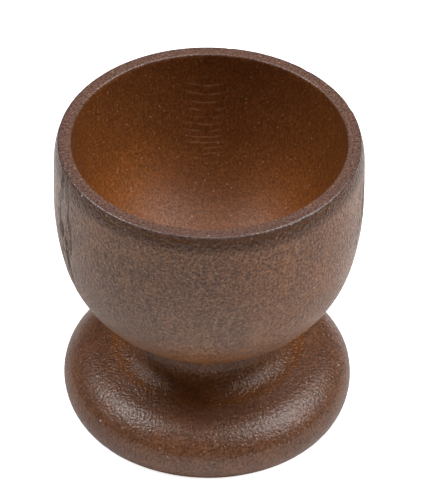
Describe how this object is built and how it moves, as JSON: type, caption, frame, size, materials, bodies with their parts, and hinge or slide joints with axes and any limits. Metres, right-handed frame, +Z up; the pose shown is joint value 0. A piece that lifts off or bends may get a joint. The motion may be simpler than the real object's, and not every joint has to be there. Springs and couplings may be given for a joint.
{
  "type": "communion chalice",
  "caption": "Squat turned wooden communion chalice: a round-bottomed bowl glued on a flared foot over a hidden dowel pin.",
  "frame": {"origin": "on the turning axis, in the plane that the foot stands on", "axes": "+Z up along the turning axis, out of the mouth; X and Y are interchangeable"},
  "size_m": [0.05, 0.05, 0.0524],
  "materials": {
    "stained_wood": "dark brown stain, satin",
    "dowel_wood": "bare beech"
  },
  "bodies": {
    "root": {"bowl": "stained_wood", "foot": "stained_wood", "dowel_pin": "dowel_wood"}
  },
  "joints": []
}
